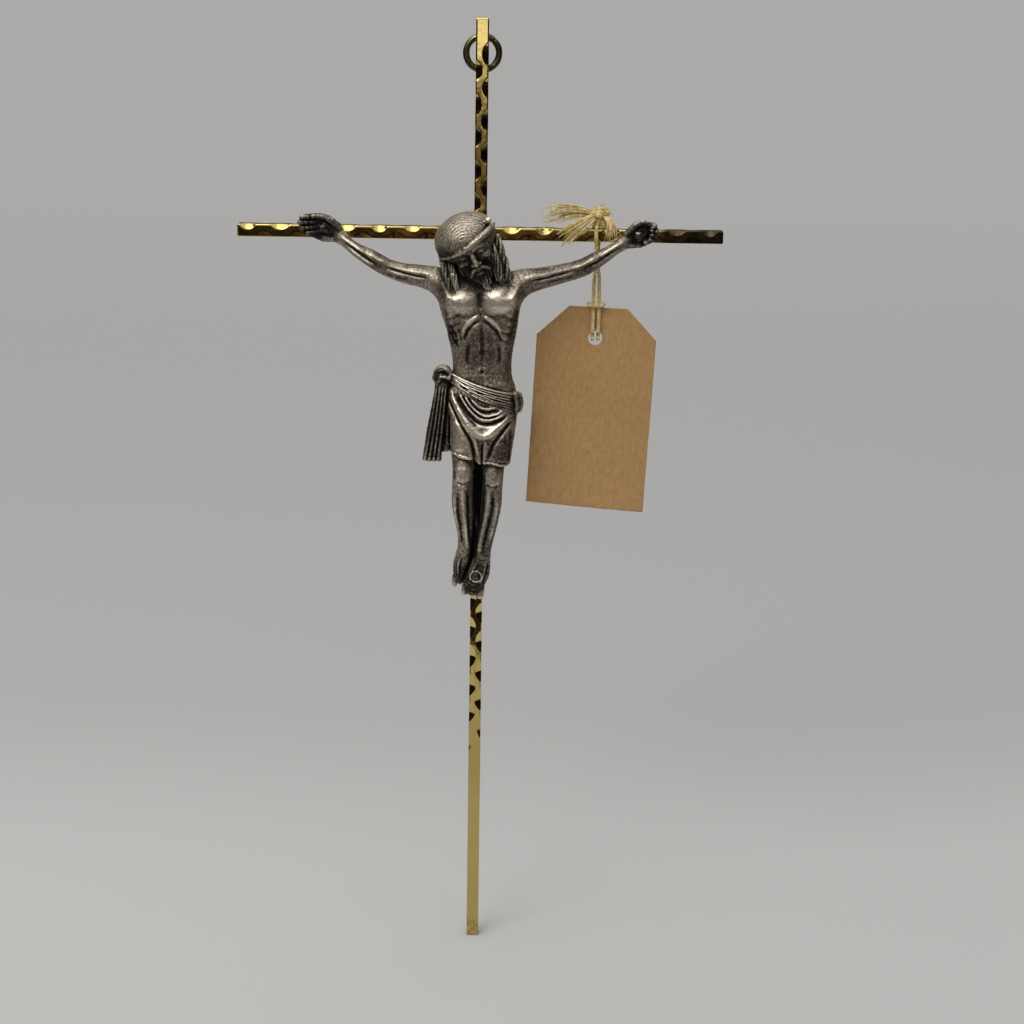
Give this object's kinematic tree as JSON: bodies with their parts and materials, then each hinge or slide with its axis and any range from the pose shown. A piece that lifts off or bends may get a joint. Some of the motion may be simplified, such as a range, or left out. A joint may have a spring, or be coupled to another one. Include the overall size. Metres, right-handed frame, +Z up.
{
  "type": "altar cross",
  "caption": "Slender cross of hammered square brass bar with a cast figure nailed to it, a hanging ring on the back, and a blank card tag tied to one arm with twine",
  "frame": {"origin": "centre of the crossing, on the back face of the upright bar", "axes": "+Z up along the upright, +Y out of the cross's back towards the wall, +X along the crossbar to the right of someone who faces the figure"},
  "size_m": [0.165, 0.0312, 0.3325],
  "materials": {
    "polished_brass": "polished, lightly worn at the foot",
    "antique_pewter": "antique pewter: darkened recesses, rubbed bright high points",
    "nail_steel": "dark, semi-gloss",
    "dark_brass": "dark olive patina",
    "kraft_card": "matte brown kraft card",
    "twine": "matte straw-coloured plant fibre"
  },
  "bodies": {
    "cross": {"upright_bar": "polished_brass", "crossbar": "polished_brass", "corpus": "antique_pewter", "hand_nail_left": "nail_steel", "hand_nail_right": "nail_steel", "feet_nail": "nail_steel", "ring_staple": "dark_brass", "twine_knot": "twine", "twine_fray_left": "twine", "twine_fray_low": "twine", "twine_fray_right": "twine"},
    "ring": {"hanging_ring": "dark_brass"},
    "tag": {"paper_tag": "kraft_card", "twine_loop": "twine", "twine_hitch": "twine"}
  },
  "joints": [
    {"name": "ring_swing", "type": "hinge", "parent": "cross", "child": "ring", "pos_m": [0, 0.00145, 0.0652], "axis": [1, 0, 0], "range_deg": [0, 180]},
    {"name": "tag_swing", "type": "hinge", "parent": "cross", "child": "tag", "pos_m": [0.04, -0.00215, 0], "axis": [1, 0, 0], "range_deg": [-8, 75]}
  ]
}
